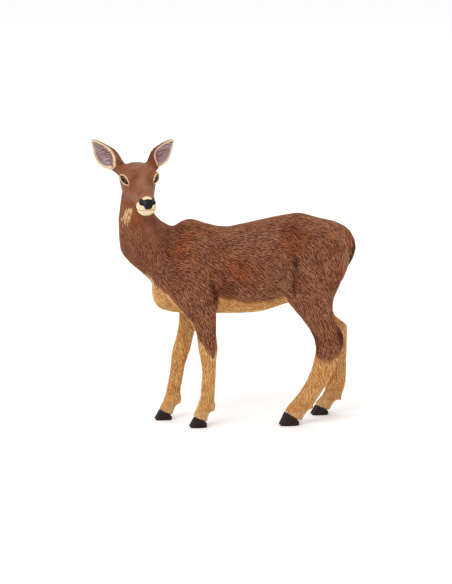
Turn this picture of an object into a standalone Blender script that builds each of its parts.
"""Moulded toy figurine of a standing doe, its head turned a quarter turn to its left.

Frame: metres, +Z up. The body faces -X and its left side faces -Y. The tables below are in
millimetres in a working frame whose floor is z = 0 and whose X, Y origin lies under the belly;
centre_on_floor() shifts the finished pieces so that the origin is the bottom centre of the box.
"""

import math

import bmesh
import bpy
from mathutils import Matrix, Vector

MM = 0.001
CUT_GAP = 0.3  # width of the thin cuts that part neighbouring pieces
OVAL_SIDES = 28  # points round each oval of the body lofts
SMALL_SIDES = 14  # points round the small pieces and the cutters
FINE_STEPS = 4  # ovals worked out between two rows of a table
VOXEL = 0.5
FUSED_TRIANGLES = 3400  # the fused body before it is parted
LIGHT_SMOOTHING = 5
HEAVY_SMOOTHING = 30  # further rounds on the trunk, where the muscles blend
FAR = 60.0  # reach of a cutter that has to pass the whole figure

# Head frame: the point between the eyes, and the way the face points.
HEAD_CENTRE = Vector((-34.55, -6.0, 86.7))
HEAD_YAW = math.radians(5.4)  # turned past the side, towards the rump
HEAD_PITCH = math.radians(26.0)  # face below the horizontal
HEAD_ROLL = math.radians(2.0)  # left eye raised
EYE_CENTRE = (0.4, 4.6, 0.1)  # forwards, sideways, upwards in the head frame
EYE_RADIUS = 1.8
COAT_BROWN = (0.235, 0.085, 0.045, 1.0)
COAT_TAN = (0.50, 0.27, 0.10, 1.0)
HOOF_BLACK = (0.018, 0.013, 0.011, 1.0)
NOSE_BLACK = (0.012, 0.012, 0.014, 1.0)
EYE_DARK = (0.055, 0.032, 0.015, 1.0)

# Trunk ovals: x, top z, belly z, half width, z of the widest level.
TRUNK = (
    (-29.6, 51.5, 45.0, 2.6, 48.0),
    (-28.4, 57.0, 41.8, 5.6, 49.0),
    (-25.5, 64.5, 39.9, 7.9, 50.5),
    (-21.0, 70.0, 39.1, 9.3, 52.0),
    (-16.5, 71.8, 38.8, 10.2, 53.0),
    (-11.0, 70.1, 38.6, 11.0, 53.0),
    (-4.5, 68.7, 38.5, 11.5, 52.5),
    (2.0, 69.7, 38.5, 11.9, 52.5),
    (8.0, 70.9, 38.9, 12.0, 53.0),
    (13.5, 72.0, 40.4, 11.5, 54.5),
    (18.0, 72.7, 41.8, 11.0, 57.0),
    (22.0, 73.1, 43.0, 11.2, 59.0),
    (26.0, 71.9, 43.5, 11.0, 60.0),
    (31.0, 70.6, 44.5, 10.0, 59.0),
    (35.0, 69.6, 47.0, 8.2, 58.5),
    (37.6, 67.7, 51.0, 5.8, 59.0),
    (39.0, 64.6, 55.0, 2.8, 59.5),
)
# Neck ovals: z, front x, back x, centre y, half width.
NECK = (
    (50.5, -30.8, -12.0, 0.0, 7.0),
    (53.5, -33.6, -12.5, 0.0, 8.0),
    (57.0, -37.6, -14.0, 0.0, 8.2),
    (60.5, -40.3, -16.5, 0.0, 7.9),
    (64.5, -41.0, -18.0, 0.0, 7.4),
    (68.5, -41.2, -22.0, 0.0, 6.9),
    (71.5, -41.2, -27.0, 0.1, 6.5),
    (74.5, -40.9, -29.2, 0.4, 6.3),
    (78.5, -40.3, -29.8, 1.2, 6.1),
    (82.5, -39.4, -29.8, 2.0, 5.6),
    (86.0, -38.0, -30.9, 2.4, 4.6),
    (88.0, -36.4, -32.2, 2.6, 3.0),
)
# Head ovals in the head frame: forwards, top, jaw, half width, level of the widest point.
HEAD = (
    (-11.0, -1.2, -4.6, 2.4, -2.6),
    (-9.6, 0.6, -6.4, 4.2, -2.2),
    (-6.5, 2.5, -7.7, 5.8, -1.4),
    (-3.0, 3.8, -8.1, 6.5, -0.7),
    (0.0, 4.0, -7.8, 6.0, -1.0),
    (3.0, 3.4, -7.1, 5.1, -1.8),
    (6.0, 2.6, -6.3, 4.3, -2.1),
    (9.0, 2.0, -5.7, 3.65, -2.2),
    (12.0, 1.6, -5.6, 3.45, -2.3),
    (14.2, 1.5, -5.7, 3.5, -2.3),
    (15.4, 1.3, -5.2, 3.4, -2.2),
    (16.2, 0.9, -4.2, 2.9, -1.9),
    (16.8, 0.3, -3.2, 2.1, -1.7),
)
# Leg ovals: z, front x, back x, centre y, half width. The left legs have negative y.
FORELEG_LEFT = (
    (61.0, -20.0, -11.0, -7.2, 2.6),
    (57.0, -24.0, -9.0, -7.4, 3.9),
    (51.0, -25.6, -8.0, -7.8, 4.4),
    (46.0, -24.6, -8.2, -8.0, 4.3),
    (42.5, -22.4, -8.4, -8.0, 4.0),
    (40.0, -20.0, -8.4, -7.9, 3.6),
    (37.8, -17.9, -8.4, -7.8, 3.3),
    (35.7, -16.4, -8.4, -7.6, 3.0),
    (32.0, -15.2, -8.4, -7.5, 2.8),
    (28.6, -14.8, -8.0, -7.5, 2.9),
    (26.2, -14.5, -7.9, -7.5, 2.9),
    (23.4, -13.9, -8.4, -7.5, 2.4),
    (19.1, -13.3, -8.5, -7.5, 2.2),
    (14.9, -13.6, -8.8, -7.5, 2.2),
    (10.7, -13.9, -9.0, -7.5, 2.4),
    (8.5, -14.5, -9.2, -7.5, 2.7),
    (6.4, -15.3, -10.1, -7.5, 2.6),
    (4.3, -16.4, -11.0, -7.5, 2.7),
    (1.5, -17.2, -11.6, -7.5, 2.6),
)
FORELEG_RIGHT = (
    (60.0, -21.0, -12.0, 7.2, 2.6),
    (56.0, -24.0, -10.0, 7.4, 3.9),
    (50.0, -24.6, -9.8, 7.6, 4.3),
    (45.0, -22.8, -10.6, 7.6, 4.1),
    (41.0, -20.6, -11.4, 7.5, 3.7),
    (38.0, -19.6, -11.9, 7.3, 3.3),
    (34.5, -19.6, -12.8, 7.2, 3.0),
    (29.2, -20.5, -14.6, 7.1, 2.8),
    (25.4, -21.8, -15.4, 7.0, 2.9),
    (22.8, -22.3, -16.2, 7.0, 2.8),
    (19.5, -22.5, -17.4, 7.0, 2.3),
    (15.5, -23.1, -18.1, 7.0, 2.2),
    (11.5, -23.9, -18.9, 7.0, 2.2),
    (8.3, -24.6, -19.4, 7.0, 2.5),
    (6.2, -25.4, -20.0, 7.0, 2.7),
    (4.2, -26.6, -21.0, 7.0, 2.6),
    (1.2, -27.6, -22.0, 7.0, 2.6),
)
HINDLEG_LEFT = (
    (65.0, 20.0, 33.0, -7.0, 2.6),
    (61.0, 16.6, 36.0, -7.4, 4.2),
    (55.0, 14.8, 36.4, -7.9, 4.9),
    (49.0, 14.2, 34.8, -8.2, 5.0),
    (45.6, 14.6, 33.1, -8.4, 4.8),
    (42.4, 16.9, 32.2, -8.5, 4.4),
    (39.5, 19.4, 32.2, -8.5, 3.9),
    (37.0, 21.5, 32.9, -8.4, 3.5),
    (34.0, 23.6, 34.4, -8.4, 3.1),
    (31.0, 25.2, 35.9, -8.4, 2.9),
    (28.7, 25.9, 36.1, -8.4, 2.9),
    (26.4, 26.2, 35.4, -8.4, 2.8),
    (22.6, 25.6, 33.9, -8.4, 2.5),
    (18.4, 24.4, 32.3, -8.4, 2.4),
    (14.2, 22.4, 30.2, -8.4, 2.4),
    (10.1, 19.6, 27.6, -8.4, 2.6),
    (7.6, 17.3, 25.9, -8.4, 2.8),
    (5.4, 15.6, 24.0, -8.4, 2.8),
    (3.4, 14.8, 22.4, -8.4, 2.7),
    (1.2, 14.2, 21.4, -8.4, 2.6),
)
HINDLEG_RIGHT = (
    (65.0, 20.0, 33.0, 7.0, 2.6),
    (61.0, 17.0, 36.4, 7.4, 4.2),
    (55.0, 15.6, 36.8, 7.9, 4.9),
    (49.0, 16.2, 36.0, 8.2, 5.0),
    (45.0, 18.6, 34.8, 8.4, 4.6),
    (41.0, 22.2, 34.2, 8.4, 4.0),
    (38.0, 25.2, 34.6, 8.4, 3.5),
    (35.2, 27.8, 35.8, 8.4, 3.1),
    (33.6, 29.2, 37.6, 8.4, 3.0),
    (32.0, 30.6, 39.8, 8.4, 2.9),
    (29.6, 31.8, 40.3, 8.4, 2.9),
    (26.4, 32.8, 40.1, 8.4, 2.7),
    (21.5, 33.2, 40.0, 8.4, 2.5),
    (16.0, 33.0, 39.9, 8.4, 2.4),
    (11.5, 32.6, 39.7, 8.4, 2.5),
    (8.6, 32.3, 39.1, 8.4, 2.7),
    (6.2, 31.0, 37.6, 8.4, 2.8),
    (4.0, 28.9, 35.4, 8.4, 2.7),
    (1.2, 27.6, 34.0, 8.4, 2.6),
)
# Muscle and bone masses: centre x, y, z, then radii x, y, z. They blend in when the body fuses.
MASSES = (
    (-24.5, 0.0, 46.0, 5.4, 6.2, 5.8),  # breast
    *((-16.0, side * 5.2, 57.0, 7.2, 6.5, 12.0) for side in (-1, 1)),  # shoulder blades
    *((-15.0, side * 7.0, 49.5, 7.0, 4.9, 6.5) for side in (-1, 1)),  # upper arms
    *((26.0, side * 5.2, 60.5, 9.0, 6.8, 10.0) for side in (-1, 1)),  # haunches
    *((19.0, side * 7.4, 50.5, 4.8, 4.8, 6.5) for side in (-1, 1)),  # stifles
    *((33.6, side * 4.4, 60.0, 4.2, 4.6, 7.6) for side in (-1, 1)),  # buttocks
)
# Tail ovals: z, front x, back x, half width.
TAIL = (
    (68.6, 33.8, 37.0, 1.8),
    (66.6, 34.4, 39.3, 3.2),
    (63.5, 35.8, 41.0, 3.9),
    (60.5, 36.8, 41.4, 3.9),
    (57.5, 37.0, 40.6, 3.3),
    (55.0, 37.0, 39.4, 2.3),
    (52.8, 37.2, 38.2, 0.9),
)
# Where the legs part from the trunk: z, front x, back x, inner |y|, outer |y|.
FORE_ROOT = (
    (-2.0, -34.0, -2.0, 1.0, 18.0),
    (34.0, -30.0, -3.0, 1.6, 18.0),
    (39.5, -27.5, -4.5, 2.4, 18.0),
    (44.0, -25.5, -6.0, 4.6, 18.0),
    (47.6, -22.5, -8.4, 7.6, 18.0),
    (49.6, -19.6, -11.4, 10.4, 18.0),
)
HIND_ROOT = (
    (-2.0, 8.0, 46.0, 1.0, 19.0),
    (38.0, 11.0, 44.0, 1.4, 19.0),
    (43.0, 11.6, 41.5, 2.6, 19.0),
    (49.0, 12.6, 39.5, 5.4, 19.0),
    (55.0, 15.4, 37.0, 8.2, 19.0),
    (58.4, 19.6, 33.6, 10.4, 19.0),
)
KNEE_Z = {"foreleg_left": 25.0, "foreleg_right": 23.0, "hindleg_left": 26.5, "hindleg_right": 28.0}
LEGS = {
    "foreleg_left": FORELEG_LEFT,
    "foreleg_right": FORELEG_RIGHT,
    "hindleg_left": HINDLEG_LEFT,
    "hindleg_right": HINDLEG_RIGHT,
}
# Hooves: x of the toe tip, x of the heel, centre y, height of the horn at the front and at the heel.
HOOVES = {
    "foreleg_left": (-17.9, -11.8, -7.5, 3.3, 1.6),
    "foreleg_right": (-28.3, -22.3, 7.0, 3.3, 1.3),
    "hindleg_left": (13.4, 20.3, -8.4, 4.5, 1.5),
    "hindleg_right": (27.2, 33.4, 8.4, 3.1, 1.3),
}
# Dewclaws: x and z of their middle, and how far they lean back, in radians.
DEWCLAWS = {
    "foreleg_left": (-9.6, 7.2, 0.1),
    "foreleg_right": (-19.7, 7.2, 0.1),
    "hindleg_left": (24.2, 7.2, -0.5),
    "hindleg_right": (37.3, 6.6, -0.3),
}
CORONET_FRONT = 0.30  # how far behind the toe tip the horn's front top lies, as a share of its length
CLAW_HALF_WIDTH = 1.3
CLAW_SPACING = 1.46  # from the leg's centre line to each claw's

# Ears: root, tip, the way the opening faces, and the sign of the way across towards the other ear.
EARS = {
    "ear_left": (Vector((-30.3, -1.0, 88.5)), Vector((-22.3, 2.6, 99.0)), Vector((0.52, -0.82, 0.16)), -1),
    "ear_right": (Vector((-39.4, -1.2, 87.9)), Vector((-50.0, 2.4, 99.3)), Vector((-0.20, -0.93, 0.28)), 1),
}
# Along an ear from root to tip: share, reach towards the other ear and away from it, where the
# inner rim of the dish stands, and how far the dish is open.
EAR_PROFILE = (
    (0.00, 2.5, 2.0, 2.5, 0.0),
    (0.12, 2.7, 2.0, 2.6, 0.0),
    (0.22, 2.9, 2.2, 2.3, 0.1),
    (0.31, 3.3, 3.0, 1.9, 0.5),
    (0.41, 3.6, 3.9, 2.2, 0.9),
    (0.52, 3.6, 4.2, 2.7, 1.0),
    (0.64, 3.1, 3.8, 2.6, 1.0),
    (0.76, 2.5, 2.9, 2.1, 1.0),
    (0.86, 1.8, 2.0, 1.6, 1.0),
    (0.94, 1.1, 1.1, 1.0, 1.0),
    (0.98, 0.6, 0.6, 0.6, 1.0),
    (1.00, 0.3, 0.3, 0.3, 1.0),
)
EAR_ARC_POINTS = 7


def clear_scene():
    for obj in list(bpy.data.objects):
        bpy.data.objects.remove(obj)


def painted(name, colour, roughness):
    """A Principled material for one paint of the figurine."""
    material = bpy.data.materials.new(name)
    material.use_nodes = True
    shader = material.node_tree.nodes["Principled BSDF"]
    shader.inputs["Base Color"].default_value = colour
    shader.inputs["Roughness"].default_value = roughness
    shader.inputs["Metallic"].default_value = 0.0
    return material


def blended_rows(rows, steps=FINE_STEPS):
    """The rows of a table with smooth ones between them, on a cubic through every row."""
    count = len(rows)
    slopes = []
    for i in range(count):
        before, after = rows[max(i - 1, 0)], rows[min(i + 1, count - 1)]
        run = after[0] - before[0]
        slopes.append([(b - a) / run for a, b in zip(before, after)])
    fine = []
    for i in range(count - 1):
        run = rows[i + 1][0] - rows[i][0]
        for k in range(steps):
            t = k / steps
            start = 2 * t**3 - 3 * t**2 + 1
            leave = (t**3 - 2 * t**2 + t) * run
            end = 3 * t**2 - 2 * t**3
            arrive = (t**3 - t**2) * run
            fine.append(
                [
                    start * a + leave * m + end * b + arrive * n
                    for a, b, m, n in zip(rows[i], rows[i + 1], slopes[i], slopes[i + 1])
                ]
            )
    fine.append(list(rows[-1]))
    return fine


def oval(centre, side, up, half_side, half_up, half_down, power=2.0, sides=OVAL_SIDES):
    """One closed ring. Its upper and lower halves may differ, and a power over 2 squares it."""
    points = []
    for k in range(sides):
        turn = 2 * math.pi * k / sides
        c, s = math.cos(turn), math.sin(turn)
        across = math.copysign(abs(c) ** (2 / power), c) * half_side
        height = math.copysign(abs(s) ** (2 / power), s) * (half_up if s > 0 else half_down)
        points.append((centre + side * across + up * height) * MM)
    return points


def mesh_object(name, bm):
    bmesh.ops.recalc_face_normals(bm, faces=bm.faces)
    mesh = bpy.data.meshes.new(name)
    bm.to_mesh(mesh)
    bm.free()
    obj = bpy.data.objects.new(name, mesh)
    bpy.context.scene.collection.objects.link(obj)
    return obj


def loft(name, rings):
    """A closed solid through the rings, each end filled."""
    bm = bmesh.new()
    loops = [[bm.verts.new(point) for point in ring] for ring in rings]
    for near, far in zip(loops, loops[1:]):
        for k in range(len(near)):
            following = (k + 1) % len(near)
            bm.faces.new((near[k], near[following], far[following], far[k]))
    bm.faces.new(loops[0])
    bm.faces.new(reversed(loops[-1]))
    return mesh_object(name, bm)


def trunk_loft():
    rings = []
    for x, top, belly, half_width, wide in blended_rows(TRUNK):
        centre = Vector((x, 0, wide))
        rings.append(
            oval(centre, Vector((0, 1, 0)), Vector((0, 0, 1)), half_width, top - wide, wide - belly)
        )
    return loft("trunk_form", rings)


def upright_loft(name, rows, power=2.0, sides=OVAL_SIDES, steps=FINE_STEPS):
    """A solid of level ovals, from rows of z, front x, back x, centre y and half width."""
    rings = []
    along, across = Vector((1, 0, 0)), Vector((0, 1, 0))
    for z, front, back, y, half_width in blended_rows(rows, steps):
        centre = Vector(((front + back) / 2, y, z))
        half = (back - front) / 2
        rings.append(oval(centre, along, across, half, half_width, half_width, power, sides))
    return loft(name, rings)


def head_axes():
    """The head's forward, left and up directions."""
    level = math.cos(HEAD_PITCH)
    forward = Vector((math.sin(HEAD_YAW) * level, -math.cos(HEAD_YAW) * level, -math.sin(HEAD_PITCH)))
    left = Vector((math.cos(HEAD_YAW), math.sin(HEAD_YAW), 0.0))
    left.rotate(Matrix.Rotation(HEAD_ROLL, 3, forward))
    return forward, left, forward.cross(left)


def head_point(forwards, sideways, upwards):
    forward, left, up = head_axes()
    return HEAD_CENTRE + forward * forwards + left * sideways + up * upwards


def head_loft():
    _, left, up = head_axes()
    rings = []
    for forwards, top, jaw, half_width, wide in blended_rows(HEAD):
        centre = head_point(forwards, 0, wide)
        rings.append(oval(centre, left, up, half_width, top - wide, wide - jaw, 2.2))
    return loft("head_form", rings)


def ellipsoid(name, centre, radii, turn=None, segments=24, rings=14):
    bm = bmesh.new()
    size = Matrix.Diagonal((*(Vector(radii) * MM), 1.0))
    place = Matrix.Translation(Vector(centre) * MM)
    bmesh.ops.create_uvsphere(
        bm, u_segments=segments, v_segments=rings, radius=1.0, matrix=place @ (turn or Matrix.Identity(4)) @ size
    )
    return mesh_object(name, bm)


def head_turn():
    """Rotation from the head frame (forward, left, up) to the figure's."""
    return Matrix(head_axes()).transposed().to_4x4()


def face_masses():
    """Brow, cheek, lip and chin masses on both sides of the head."""
    forms = []
    for side in (-1, 1):
        for label, at, radii in (
            ("brow", (-0.6, 4.3 * side, 1.4), (3.2, 2.4, 1.5)),
            ("orbit", (0.4, 4.35 * side, 0.0), (3.0, 2.0, 2.6)),
            ("cheek", (-1.4, 3.3 * side, -3.9), (4.8, 2.7, 3.4)),
            ("lip", (13.8, 1.8 * side, -2.2), (2.7, 2.0, 1.9)),
            ("ear_base", (-5.0, 3.9 * side, 0.2), (2.8, 2.2, 2.0)),
        ):
            forms.append(ellipsoid(f"{label}_form", head_point(*at), radii, head_turn()))
    forms.append(ellipsoid("chin_form", head_point(12.9, 0, -4.7), (2.7, 2.3, 1.5), head_turn()))
    return forms


def dewclaws(name):
    """The two small spurs behind the pastern."""
    x, z, lean = DEWCLAWS[name]
    forms = []
    for side in (-1, 1):
        at = (x, HOOVES[name][2] + 1.25 * side, z)
        forms.append(ellipsoid("dewclaw_form", at, (1.0, 0.85, 2.2), Matrix.Rotation(lean, 4, "Y"), 12, 8))
    return forms


def apply_modifiers(obj):
    """Replaces the object's mesh with the shape that its modifiers give."""
    graph = bpy.context.evaluated_depsgraph_get()
    mesh = bpy.data.meshes.new_from_object(obj.evaluated_get(graph))
    obj.modifiers.clear()
    obj.data = mesh
    return obj


def joined(name, parts):
    bm = bmesh.new()
    for part in parts:
        bm.from_mesh(part.data)
        bpy.data.objects.remove(part)
    return mesh_object(name, bm)


def ramp(value, low, high):
    """0 below the low value, 1 above the high one, and a smooth step between."""
    t = min(1.0, max(0.0, (value - low) / (high - low)))
    return t * t * (3 - 2 * t)


def fused(name, parts, triangles):
    """Many overlapping forms made into one smooth closed body, smoothest on the trunk."""
    body = joined(name, parts)
    remesh = body.modifiers.new("fuse", "REMESH")
    remesh.mode = "VOXEL"
    remesh.voxel_size = VOXEL * MM
    apply_modifiers(body)
    trunk = body.vertex_groups.new(name="trunk")
    for vertex in body.data.vertices:
        x, _, z = vertex.co / MM
        trunk.add([vertex.index], ramp(z, 37.0, 45.0) * ramp(x, -38.0, -30.0), "REPLACE")
    for label, rounds, group in (("light", LIGHT_SMOOTHING, ""), ("heavy", HEAVY_SMOOTHING, "trunk")):
        smooth = body.modifiers.new(label, "SMOOTH")
        smooth.factor = 0.5
        smooth.iterations = rounds
        smooth.vertex_group = group
    apply_modifiers(body)
    faces = sum(len(polygon.vertices) - 2 for polygon in body.data.polygons)
    decimate = body.modifiers.new("thin_out", "DECIMATE")
    decimate.ratio = min(1.0, triangles / faces)
    return apply_modifiers(body)


def copy_of(obj, name):
    twin = bpy.data.objects.new(name, obj.data.copy())
    bpy.context.scene.collection.objects.link(twin)
    return twin


def cut(obj, other, operation="DIFFERENCE"):
    boolean = obj.modifiers.new(operation.lower(), "BOOLEAN")
    boolean.operation = operation
    boolean.object = other
    boolean.solver = "EXACT"
    return apply_modifiers(obj)


def swollen(obj, by):
    """A copy whose surface stands proud by the given width, for cutting with a clear gap."""
    twin = copy_of(obj, obj.name + "_swollen")
    normals = [vertex.normal.copy() for vertex in twin.data.vertices]
    for vertex, normal in zip(twin.data.vertices, normals):
        vertex.co += normal * by * MM
    return twin


def slab(name, at, normal, size, thickness=CUT_GAP):
    """A thin plate centred on a point, square to the given normal."""
    bm = bmesh.new()
    turn = normal.to_track_quat("Z", "Y").to_matrix().to_4x4()
    scale = Matrix.Diagonal((size * MM, size * MM, thickness * MM, 1.0))
    bmesh.ops.create_cube(bm, size=1.0, matrix=Matrix.Translation(at * MM) @ turn @ scale)
    return mesh_object(name, bm)


def half_space(name, at, normal):
    """A large block whose face passes through a point and which lies on the normal's side."""
    return slab(name, at + normal.normalized() * FAR / 2, normal, 2 * FAR, FAR)


def leg_region(name, rows, side, grow):
    """The space that a leg's own pieces take from the body, rounded at its top."""
    grown = [
        (
            z + (grow if z > 0 else 0),
            front - grow,
            back + grow,
            side * (inner + outer) / 2,
            (outer - inner) / 2 + grow,
        )
        for z, front, back, inner, outer in rows
    ]
    return upright_loft(name, grown, 2.6, 16, 2)


def ear_shell(name):
    """A cupped leaf: a round stalk that opens into a dish with a thick rim."""
    root, tip, facing, sign = EARS[name]
    along = tip - root
    length = along.length
    along.normalize()
    opening = (facing - along * facing.dot(along)).normalized()
    inward = along.cross(opening) * sign
    rings = []
    for t, inner, outer, rim, opened in EAR_PROFILE:
        depth = 2.0 * (1 - t) ** 0.8 + 0.8
        face = 1.7 * (1 - opened) - (depth - 1.0) * opened  # where the inner face lies
        bow = 1.2 * math.sin(math.pi * t) - 0.9 * t  # the leaf curves back and its tip comes forwards
        centre = root + along * length * t - opening * bow
        ring = []
        for near, far, height in ((inner, -outer, -depth), (-0.96 * outer, rim, face)):
            middle, half = (near + far) / 2, (near - far) / 2
            for k in range(EAR_ARC_POINTS):
                turn = math.pi * (k + 0.5) / EAR_ARC_POINTS
                across = inward * (middle + half * math.cos(turn))
                ring.append((centre + across + opening * height * math.sin(turn)) * MM)
        rings.append(ring)
    return loft(name, rings)


def nose_region(name, grow):
    """The bare nose: a bar across the muzzle's front with a wing at each end, and a stem below it."""
    lobes = (
        ((16.4, 0, 0.7), (2.05, 2.3, 1.1)),
        ((15.1, -2.0, 0.35), (1.35, 1.15, 0.65)),
        ((15.1, 2.0, 0.35), (1.35, 1.15, 0.65)),
        ((16.6, 0, -0.55), (1.8, 1.25, 0.9)),
    )
    region = None
    for at, radii in lobes:
        lobe = ellipsoid(name, head_point(*at), [r + grow for r in radii], head_turn(), 10, 6)
        if region is None:
            region = lobe
            continue
        cut(region, lobe, "UNION")
        bpy.data.objects.remove(lobe)
    return region


def tube(name, points, radius):
    """A round rod through the points."""
    rings = []
    for i, point in enumerate(points):
        before, after = points[max(i - 1, 0)], points[min(i + 1, len(points) - 1)]
        way = (after - before).normalized()
        side = way.orthogonal().normalized()
        rings.append(oval(point, side, way.cross(side), radius, radius, radius, 2.0, 6))
    return loft(name, rings)


def carve_mouth(body):
    """The line of the mouth, drawn on the muzzle from one corner round the front to the other."""
    corner, front, half, level, sag = 10.4, 17.2, 4.0, -2.35, 0.35
    lips = []
    for k in range(11):
        turn = math.pi * (k / 10 - 0.5)
        forwards = corner + (front - corner) * math.cos(turn)
        near = head_point(forwards, half * math.sin(turn), level - sag * math.sin(turn) ** 2)
        lips.append(body.closest_point_on_mesh(near * MM)[1] / MM)
    mouth = tube("mouth", lips, 0.33)
    cut(body, mouth)
    bpy.data.objects.remove(mouth)


def claw(name, leg, side):
    """One horny claw of a cloven hoof: a wedge with a flat sole, higher at the toe."""
    toe, heel, y, front_height, _ = HOOVES[leg]
    length = heel - toe
    y += side * CLAW_SPACING
    along, across = Vector((1, 0, 0)), Vector((0, 1, 0))
    rings = []
    for share, breadth in ((0.0, 0.95), (0.10, 1.0), (0.45, 0.98), (0.85, 0.92), (1.25, 0.88)):
        z = share * front_height
        front = toe + CORONET_FRONT * length * share + (0.12 if share == 0 else 0)
        back = heel - (0.10 if share == 0 else 0)
        centre = Vector(((front + back) / 2, y, z))
        half_width = CLAW_HALF_WIDTH * breadth
        rings.append(
            oval(centre, along, across, (back - front) / 2, half_width, half_width, 2.5, SMALL_SIDES)
        )
    solid = loft(name, rings)
    above = half_space("above_coronet", *coronet_plane(leg, 0.0))
    cut(solid, above)
    bpy.data.objects.remove(above)
    return solid


def coronet_plane(leg, lift):
    """A point and the upward normal of the plane where horn meets hair."""
    toe, heel, y, front_height, heel_height = HOOVES[leg]
    front = toe + CORONET_FRONT * (heel - toe)
    fall = (front_height - heel_height) / (heel - front)
    normal = Vector((fall, 0, 1)).normalized()
    return Vector((front, y, front_height)) + normal * lift, normal


def finish_piece(obj, name, material):
    obj.name = name
    obj.data.name = name
    obj.data.materials.clear()
    obj.data.materials.append(material)
    for polygon in obj.data.polygons:
        polygon.material_index = 0
    obj.data.shade_smooth()
    return obj


def largest_body(obj):
    """Drops the chips that a cut can leave, and keeps the largest closed body."""
    bm = bmesh.new()
    bm.from_mesh(obj.data)
    bmesh.ops.triangulate(bm, faces=bm.faces)
    todo = set(bm.verts)
    islands = []
    while todo:
        stack = [todo.pop()]
        island = []
        while stack:
            vertex = stack.pop()
            island.append(vertex)
            for edge in vertex.link_edges:
                other = edge.other_vert(vertex)
                if other in todo:
                    todo.remove(other)
                    stack.append(other)
        islands.append(island)
    islands.sort(key=len)
    for island in islands[:-1]:
        bmesh.ops.delete(bm, geom=island, context="VERTS")
    bm.to_mesh(obj.data)
    bm.free()
    return obj


def leg_pieces(body, leg, materials):
    """Takes one leg out of the body and parts it at its knee or hock, and at the coronet."""
    side = math.copysign(1, HOOVES[leg][2])
    rows = FORE_ROOT if leg.startswith("fore") else HIND_ROOT
    region = leg_region(leg + "_region", rows, side, 0.0)
    whole_leg = copy_of(body, leg)
    cut(whole_leg, region, "INTERSECT")
    point, normal = coronet_plane(leg, CUT_GAP)
    under = half_space("under_coronet", point, -normal)
    cut(whole_leg, under)
    knee = Vector((sum(HOOVES[leg][:2]) / 2, HOOVES[leg][2], KNEE_Z[leg]))
    for label, way, material in (("upper", 1, materials["coat"]), ("lower", -1, materials["tan"])):
        half = copy_of(whole_leg, f"{leg}_{label}")
        up = Vector((0, 0, way))
        rest = half_space("other_half", knee + up * CUT_GAP / 2, -up)
        cut(half, rest)
        bpy.data.objects.remove(rest)
        finish_piece(largest_body(half), f"{leg}_{label}", material)
    for helper in (region, under, whole_leg):
        bpy.data.objects.remove(helper)
    grown = leg_region(leg + "_gap", rows, side, CUT_GAP)
    cut(body, grown)
    bpy.data.objects.remove(grown)


def centre_on_floor(objects):
    """Moves every piece so that the figure's box stands on z = 0 and is centred on X and Y."""
    corners = [vertex.co for obj in objects for vertex in obj.data.vertices]
    low = Vector([min(c[i] for c in corners) for i in range(3)])
    high = Vector([max(c[i] for c in corners) for i in range(3)])
    shift = Vector((-(low.x + high.x) / 2, -(low.y + high.y) / 2, -low.z))
    for obj in objects:
        obj.data.transform(Matrix.Translation(shift))


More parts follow.
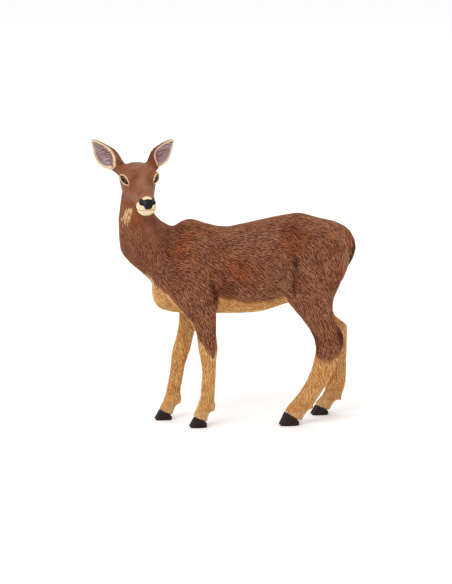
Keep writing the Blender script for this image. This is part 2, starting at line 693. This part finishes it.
def build():
    clear_scene()
    materials = {
        "coat": painted("coat_brown", COAT_BROWN, 0.55),
        "tan": painted("coat_tan", COAT_TAN, 0.55),
        "hoof": painted("hoof_black", HOOF_BLACK, 0.4),
        "nose": painted("nose_black", NOSE_BLACK, 0.3),
        "eye": painted("eye_dark", EYE_DARK, 0.15),
    }

    forms = [trunk_loft(), upright_loft("neck_form", NECK), head_loft(), *face_masses()]
    for leg, rows in LEGS.items():
        forms += [upright_loft(leg + "_form", rows), *dewclaws(leg)]
    for x, y, z, *radii in MASSES:
        forms.append(ellipsoid("mass_form", (x, y, z), radii))
    body = fused("body", forms, FUSED_TRIANGLES)

    swollen_body = swollen(body, CUT_GAP)
    tail_rows = [(z, front, back, 0.0, half) for z, front, back, half in TAIL]
    tail = upright_loft("tail", tail_rows, 2.0, SMALL_SIDES, 1)
    cut(tail, swollen_body)
    finish_piece(largest_body(tail), "tail", materials["coat"])
    for name in EARS:
        ear = ear_shell(name)
        cut(ear, swollen_body)
        finish_piece(largest_body(ear), name, materials["coat"])
    bpy.data.objects.remove(swollen_body)

    nose = swollen(body, 0.2)
    region = nose_region("nose_region", 0.0)
    cut(nose, region, "INTERSECT")
    for side in (-1, 1):
        nostril = ellipsoid("nostril", head_point(16.1, 1.75 * side, 0.2), (0.9, 0.42, 0.36), head_turn(), 8, 5)
        cut(nose, nostril)
        bpy.data.objects.remove(nostril)
    socket = nose_region("nose_socket", CUT_GAP)
    cut(body, socket)
    carve_mouth(body)
    bpy.data.objects.remove(region)
    bpy.data.objects.remove(socket)
    finish_piece(largest_body(nose), "nose", materials["nose"])
    for label, side in (("eye_left", 1), ("eye_right", -1)):
        forwards, sideways, upwards = EYE_CENTRE
        at = head_point(forwards, sideways * side, upwards)
        socket = ellipsoid("socket", at, [EYE_RADIUS + CUT_GAP] * 3, None, 12, 8)
        cut(body, socket)
        bpy.data.objects.remove(socket)
        eye = ellipsoid(label, at, [EYE_RADIUS] * 3, None, 12, 8)
        finish_piece(eye, label, materials["eye"])

    for leg in LEGS:
        leg_pieces(body, leg, materials)
        outward = math.copysign(1, HOOVES[leg][2])
        for label, side in (("outer", outward), ("inner", -outward)):
            name = f"claw_{leg}_{label}"
            finish_piece(claw(name, leg, side), name, materials["hoof"])

    nape = Vector((-35.0, 1.0, 81.6))
    nape_normal = Vector((0.0, -0.62, 0.78)).normalized()
    base = Vector((-27.6, 0.0, 60.5))
    base_normal = Vector((-0.953, 0.0, 0.302)).normalized()
    for name, planes in (
        ("head", ((nape, -nape_normal),)),
        ("neck", ((nape, nape_normal), (base, -base_normal))),
        ("trunk", ((base, base_normal),)),
    ):
        piece = copy_of(body, name)
        for at, away in planes:
            rest = half_space("rest", at - away.normalized() * CUT_GAP / 2, away)
            cut(piece, rest)
            bpy.data.objects.remove(rest)
        finish_piece(largest_body(piece), name, materials["coat"])
    bpy.data.objects.remove(body)
    centre_on_floor(list(bpy.data.objects))


build()
